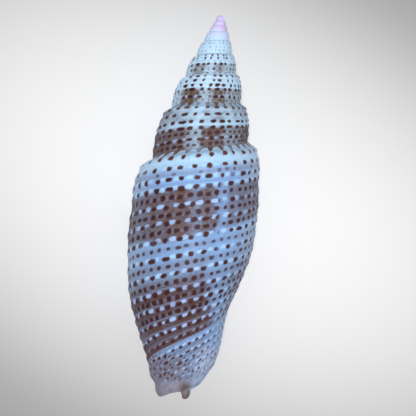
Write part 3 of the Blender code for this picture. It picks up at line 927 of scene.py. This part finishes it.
    def notch_shade(self, streaks):
        """Painted shade in the dark gaps between the pale teeth that overlap the whorl before."""
        count = self.counted * self.sizes.shoulder_dots_per_turn + self.sway + SHOULDER_PHASE
        early = self.turns.step(1.3, 2.6)
        depth = abs(count.fraction() - 0.5).step(0.34, 0.04) * (0.6 - 0.35 * early)
        fade = early * 0.5 + self.turns.step(2.8, 3.8) * 0.5
        notch_shade = (self.s - (depth + self.ragged * 0.1)).step(SUTURE + 0.14, SUTURE)
        return notch_shade * (1.0 - fade) * self.dotted * (0.5 + 0.5 * streaks)

    def ends(self):
        """Layers of the smooth lilac front end, the brown tip and the lavender apex."""
        tints = self.tints
        smooth = self.front.step(SCULPTURE_END + 0.2, SCULPTURE_END + 2.6) * self.last
        front = painted(tints.smooth_end, (
            (self.part.step(0.34, 0.5) * 0.6, tints.ground),
            (self.noise("stains").step(0.42, 0.7) * 0.5, tints.tip)))
        stain = self.along.step(47.2, 48.3) * self.part.bell(0.36, 0.06)
        ring = self.along.bell(2.1, 0.55) * (0.2 + 0.4 * self.part.step(0.3, 0.45))
        return ((smooth * 0.95, front),
                (self.s.step(59.0, 61.5).most(stain) * 0.95, tints.tip),
                (stain * 0.45, tints.haze_deep),
                (self.s.step(63.4, 64.0) * 0.35, tints.haze),
                (self.along.step(3.9, 3.0) * 0.85, tints.apex_pale),
                (self.along.step(2.5, 1.8), tints.apex),
                (ring, tints.apex_ring))

    def surface(self):
        """Base colour, the height of the fine relief and the roughness."""
        tints = self.tints
        haze = self.haze()
        block, block_chance = self.cells(self.sizes.dots_per_turn, DOT_PHASE + 0.5, self.row,
                                         self.off + 0.1, 0.26, 0.29, 3.0, 0.3)
        fine, gap, fine_chance = self.fine_marks(haze)
        dots, chance = self.dots()
        threads = self.noise("threads")
        before = self.streaks(1.0)
        callus = self.turns.step(0.955, 0.975) * self.turns.below(1.02) * self.s.step(30.5, 31.0)
        colour = painted(self.ground(), (
            (threads.step(0.45, 0.75) * (0.14 - 0.09 * self.turns.step(0.9, 1.2)), tints.groove_shade_and_marks),
            (self.specks(), tints.haze),
            (haze * (0.9 + 0.1 * fine_chance[2]), self.haze_colour()),
            (gap * haze * 0.3 * self.last, tints.groove_shade_and_marks),
            (self.rim_highlights(), tints.rim),
            (fine, blend_colours(haze, tints.fine_dot_pale, tints.fine_dot)),
            (block * self.dotted * self.block_strength(haze, block_chance),
             blend_colours(haze, tints.block, tints.block_shaded)),
            # Painted shade in the gaps between teeth: grey, and haze brown where the whorl before
            # is hazed.
            (self.notch_shade(before), blend_colours(before, tints.groove_shade_and_marks, tints.haze)),
            (dots, self.dot_colour(chance)),
            *self.ends(),
            (callus * 0.85, tints.inside)))
        relief = block * 0.03 - dots * 0.03 - fine * 0.02
        relief = (relief * self.dotted + threads * 0.02) * self.shrink
        return colour, relief, 0.52 + 0.12 * threads + 0.06 * haze


def principled(name):
    """A new node material: itself, its tree and its shader."""
    material = bpy.data.materials.new(name)
    material.use_nodes = True
    return material, material.node_tree, material.node_tree.nodes["Principled BSDF"]


def feed(shader, **wires):
    """Link wires to the shader's sockets; an underscore stands for a space."""
    for name, wire in wires.items():
        wire.tree.links.new(wire.socket, shader.inputs[name.replace("_", " ")])


def shell_material(sizes, colours):
    """The dotted, glazed outside."""
    material, tree, shader = principled("dotted_glaze")
    colour, relief, roughness = Glaze(tree, sizes, colours).surface()
    bump = node(tree, "ShaderNodeBump", None, {"Strength": 1.0, "Distance": MM, "Height": relief})
    feed(shader, Base_Color=colour, Roughness=roughness, Normal=bump)
    shader.inputs["IOR"].default_value = 1.5
    shader.inputs["Specular IOR Level"].default_value = 0.32
    return material


def lumen_material(colours):
    """The smooth porcelain inside, with painted shade a little darker far back."""
    material, tree, shader = principled("porcelain_inside")
    turns, s, _ = parts(node(tree, "ShaderNodeUVMap", {"uv_map": "growth"}))
    depth = turns.fraction()
    bands = cloud(depth * 40.0, s * 0.6, 0.0)
    # Painted shade: the porcelain darker deeper in the aperture.
    colour = painted(colours.inside, (
        (depth.step(0.05, 0.6), colours.inside_deep_shade),
        (bands.step(0.35, 0.8) * 0.4, colours.smooth_end),
        (s.step(52.0, 58.0) * 0.85, colours.tip)))
    feed(shader, Base_Color=colour, Roughness=0.22 + 0.15 * bands)
    return material


def amount(name, description, default, **more):
    """A number property."""
    return FloatProperty(name=name, description=description, default=default, **more)


def length(name, description, default):
    """A length property, in metres."""
    return amount(name, description, default, min=0.0, unit="LENGTH", subtype="DISTANCE",
                  precision=5)


def tint(name, description, default):
    """A colour property."""
    return FloatVectorProperty(name=name, description=description, default=default, size=3,
                               min=0.0, max=1.0, subtype="COLOR")


class ShellSizes(bpy.types.PropertyGroup):
    """Sizes of the shell and of its sculpture."""

    shell_length: length("Length", "From the apex to the front end",
                         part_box(NODE)[1].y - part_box(NODE)[0].y)
    axial_growth: amount("Growth along the axis",
                         "How much longer each whorl is than the last", 1.477, min=1.05)
    radial_growth: amount("Growth across the axis",
                          "How much wider each whorl is than the last", 1.377, min=1.05)
    whorl_turns: amount("Turns", "Turns from the outer lip to the first whorl", 7.5, min=2.0)
    axis_bend: amount("Spire lean", "How far the spire leans from the base's axis",
                      math.radians(5.6), subtype="ANGLE")
    wobble: length("Askew whorl", "How far one whorl's suture rises and dips", 0.00025)
    cord_height: length("Cord height", "Height of the main spiral cords", 0.00017)
    fine_cord_height: length("Fine cord height", "Height of the cords between them", 0.00007)
    rib_depth: length("Groove depth", "Depth of the axial grooves that carry the dots", 0.00003)
    knob_height: length("Knob height", "Height of the row of knobs at the shoulder", 0.00022)
    fold_height: length("Fold height", "Height of the folds on the columella", 0.00042)
    lip_thickness: length("Lip thickness", "Thickness of the outer lip", 0.00055)
    wall_thickness: length("Wall thickness", "Thickness of the wall behind the lip", 0.00095)
    dots_per_turn: amount("Dots in a turn", "Dark dots on a main cord in one turn", 32.0,
                          min=4.0)
    shoulder_dots_per_turn: amount("Shoulder dots in a turn",
                                   "Dots on the two cords at the shoulder", 28.5, min=4.0)
    fine_dots_per_turn: amount("Fine dots in a turn", "Small dots on a fine cord in one turn",
                               46.0, min=4.0)
    columns: IntProperty(name="Columns", default=168, min=36, max=240,
                         description="Columns of faces in one turn")


class ShellColours(bpy.types.PropertyGroup):
    """Colours of the glaze."""

    ground: tint("Ground", "Pale ground between the dots", (0.28, 0.54, 0.94))
    ground_deep: tint("Deeper ground", "Where the ground is greyer", (0.23, 0.4, 0.74))
    # Painted sheen: the paler ground towards both sides of the last whorl.
    sheen_side_ground: tint("Ground near the lip", "Paler ground towards both sides", (0.5, 0.62, 0.86))
    shoulder: tint("Shoulder", "The brighter ground at the shoulder", (0.47, 0.74, 1.0))
    spire: tint("Spire ground", "Pale ground of the early whorls", (0.55, 0.77, 1.0))
    # Painted shade of the grooves between cords; the same grey also draws threads, fine-dot gaps
    # and notches.
    groove_shade_and_marks: tint("Groove", "Grey-lavender of the grooves between cords", (0.2, 0.28, 0.5))
    block: tint("Block", "Bright blocks between two dots of a cord", (0.43, 0.71, 1.0))
    block_shaded: tint("Block in the haze", "The same blocks in a brown band", (0.37, 0.54, 0.92))
    # Painted highlight along each cord's upper side.
    rim: tint("Cord rim", "Thin pale line along a cord's upper side", (0.24, 0.32, 0.54))
    dot: tint("Dot", "Dark red-brown dots", (0.045, 0.005, 0.005))
    dot_pale: tint("Paler dot", "Red-brown of the weaker dots", (0.15, 0.045, 0.04))
    dot_early: tint("Spire dot", "Olive brown of the weaker dots on the spire", (0.15, 0.085, 0.05))
    fine_dot: tint("Fine dot", "Brown of the small dots", (0.042, 0.006, 0.006))
    fine_dot_pale: tint("Paler fine dot", "Small dots on the pale ground", (0.058, 0.024, 0.028))
    haze: tint("Haze", "Grey-brown film of the bands", (0.128, 0.074, 0.063))
    haze_deep: tint("Lower haze", "Darker brown of the lower band", (0.085, 0.038, 0.034))
    haze_early: tint("Spire haze", "Olive brown of the haze on the spire", (0.13, 0.09, 0.06))
    smooth_end: tint("Smooth end", "Grey lilac of the undotted front end", (0.27, 0.25, 0.33))
    tip: tint("Columella tip", "Brownish grey of the tip", (0.15, 0.115, 0.11))
    apex_pale: tint("Upper whorls", "Pale blue lavender of the early whorls", (0.6, 0.68, 0.97))
    apex_ring: tint("Apex ring", "Pinker band below the apex", (0.66, 0.44, 0.72))
    apex: tint("Apex", "Lavender of the first whorls", (0.67, 0.59, 0.95))
    inside: tint("Inside", "Porcelain of the aperture", (0.62, 0.62, 0.7))
    inside_deep_shade: tint("Deep inside", "Shaded porcelain far back", (0.34, 0.3, 0.34))


class StageSettings(bpy.types.PropertyGroup):
    """Floor, light and camera."""

    floor_size: length("Floor size", "Side of the square floor", 1.2)
    floor_colour: tint("Floor colour", "Pale plain floor", (0.92, 0.92, 0.92))
    # Painted shade: the floor darker away from the middle, a painted falloff of light.
    floor_falloff_shade: tint("Floor edge colour", "The floor away from the middle", (0.34, 0.34, 0.34))
    camera_distance: length("Camera distance", "From the camera to the shell's middle", 0.143)
    picture_width: length("Picture width", "Width that the camera takes in there", 0.05408)
    camera_roll: amount("Camera roll", "How far the camera is rolled from the shell's axis",
                        math.radians(3.075), subtype="ANGLE")
    key_power: amount("Soft lamp power", "Power of the broad lamp above", 2.5, min=0.0,
                      unit="POWER")
    sky_strength: amount("Room light", "Strength of the even light from all round", 0.42,
                         min=0.0)


def mesh_from(bm, name):
    """The bmesh as a mesh; the bmesh is freed."""
    mesh = bpy.data.meshes.new(name)
    bm.to_mesh(mesh)
    bm.free()
    return mesh


def placed(context, name, data):
    """A new object in the scene."""
    made = bpy.data.objects.new(name, data)
    context.scene.collection.objects.link(made)
    return made


class SHELL_OT_grow(bpy.types.Operator):
    """Grow the shell, colour it and set it in its frame"""

    bl_idname = "mitre_shell.grow"
    bl_label = "Grow the shell"

    def execute(self, context):
        sizes = context.scene.mitre_shell_sizes
        colours = context.scene.mitre_shell_colours
        frame_low, frame_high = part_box(NODE)
        bm = ShellBuilder(Growth(sizes), sizes.columns).build()
        growth_scale = sizes.shell_length / (frame_high.y - frame_low.y)
        shift = lay_down(bm, growth_scale)
        mesh = mesh_from(bm, "mitre_shell")
        mesh.shade_smooth()
        shell = placed(context, "mitre_shell", mesh)
        mesh.materials.append(shell_material(sizes, colours))
        mesh.materials.append(lumen_material(colours))
        shell["growing_frame_shift"] = list(shift)
        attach(shell, BODY)
        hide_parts(NODE)
        return {"FINISHED"}


class SHELL_OT_stage(bpy.types.Operator):
    """Set the floor, the soft light and the camera"""

    bl_idname = "mitre_shell.stage"
    bl_label = "Set the stage"

    def execute(self, context):
        stage = context.scene.mitre_shell_stage
        self.set_floor(context, stage)
        self.set_light(context, stage)
        self.set_camera(context, stage)
        context.scene.view_settings.view_transform = "Standard"
        return {"FINISHED"}

    def set_floor(self, context, stage):
        bm = bmesh.new()
        bmesh.ops.create_grid(bm, x_segments=1, y_segments=1, size=0.5 * stage.floor_size)
        floor = placed(context, "floor", mesh_from(bm, "floor"))
        floor.data.materials.append(self.floor_material(stage))

    def floor_material(self, stage):
        material, tree, shader = principled("pale_floor")
        where = node(tree, "ShaderNodeTexCoord", None, None, output=3)
        moved = node(tree, "ShaderNodeMapping", {"vector_type": "TEXTURE"},
                     {"Vector": where, "Location": (*FLOOR_CENTRE, 0.0),
                      "Rotation": (0.0, 0.0, FLOOR_TURN), "Scale": (*FLOOR_REACH, 1.0)})
        far = node(tree, "ShaderNodeVectorMath", {"operation": "LENGTH"}, [moved], output=1)
        # Painted pool of light: the floor turns darker away from the oval round the middle.
        edge = node(tree, "ShaderNodeMath", {"operation": "SMOOTH_MIN"}, [far * far, 1.0, 0.5])
        feed(shader, Base_Color=blend_colours(edge, stage.floor_colour, stage.floor_falloff_shade))
        shader.inputs["Roughness"].default_value = 0.9
        shader.inputs["Specular IOR Level"].default_value = 0.1
        return material

    def set_light(self, context, stage):
        world = bpy.data.worlds.new("soft_room")
        world.use_nodes = True
        background = world.node_tree.nodes["Background"]
        background.inputs["Color"].default_value = (1.0, 1.0, 1.0, 1.0)
        background.inputs["Strength"].default_value = stage.sky_strength
        context.scene.world = world
        lamp = bpy.data.lights.new("soft_lamp", "AREA")
        lamp.shape = "DISK"
        lamp.size = LAMP_SIZE
        lamp.energy = stage.key_power
        holder = placed(context, "soft_lamp", lamp)
        holder.location = rest_turn() @ Vector((0.0, 0.0, LAMP_HEIGHT))
        holder.rotation_euler = (-holder.location).to_track_quat("-Z", "Y").to_euler()

    def set_camera(self, context, stage):
        shift = Vector(bpy.data.objects["mitre_shell"]["growing_frame_shift"])
        roll = stage.camera_roll
        right = Vector((math.cos(roll), math.sin(roll), 0.0))
        up = Vector((-math.sin(roll), math.cos(roll), 0.0))
        target = -(VIEW_CENTRE[0] * right + VIEW_CENTRE[1] * up) * MM
        place = target + Vector((0.0, 0.0, stage.camera_distance))
        axes = Matrix((right, up, Vector((0.0, 0.0, 1.0)))).transposed().to_4x4()
        lens = bpy.data.cameras.new("camera")
        lens.lens = lens.sensor_width * stage.camera_distance / stage.picture_width
        lens.clip_start = 0.01
        camera = placed(context, "camera", lens)
        camera.matrix_world = (Matrix.Translation(shift) @ rest_turn()
                               @ Matrix.Translation(place) @ axes)
        context.scene.camera = camera


class SHELL_PT_panel(bpy.types.Panel):
    """Sizes, colours and the two steps"""

    bl_idname = "SHELL_PT_panel"
    bl_label = "Mitre shell"
    bl_space_type = "VIEW_3D"
    bl_region_type = "UI"
    bl_category = "Mitre shell"

    def draw(self, context):
        layout = self.layout
        for group in (context.scene.mitre_shell_sizes, context.scene.mitre_shell_colours,
                      context.scene.mitre_shell_stage):
            box = layout.box()
            for name in group.__annotations__:
                box.prop(group, name)
        layout.operator(SHELL_OT_grow.bl_idname)
        layout.operator(SHELL_OT_stage.bl_idname)


CLASSES = (ShellSizes, ShellColours, StageSettings, SHELL_OT_grow, SHELL_OT_stage, SHELL_PT_panel)


def register():
    for cls in CLASSES:
        bpy.utils.register_class(cls)
    bpy.types.Scene.mitre_shell_sizes = PointerProperty(type=ShellSizes)
    bpy.types.Scene.mitre_shell_colours = PointerProperty(type=ShellColours)
    bpy.types.Scene.mitre_shell_stage = PointerProperty(type=StageSettings)


def unregister():
    del bpy.types.Scene.mitre_shell_stage
    del bpy.types.Scene.mitre_shell_colours
    del bpy.types.Scene.mitre_shell_sizes
    for cls in reversed(CLASSES):
        bpy.utils.unregister_class(cls)


def main():
    """Make the shell, set in its frame's box, and its stage."""
    register()
    bpy.ops.mitre_shell.grow()
    bpy.ops.mitre_shell.stage()
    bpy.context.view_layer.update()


if __name__ == "__main__":
    main()
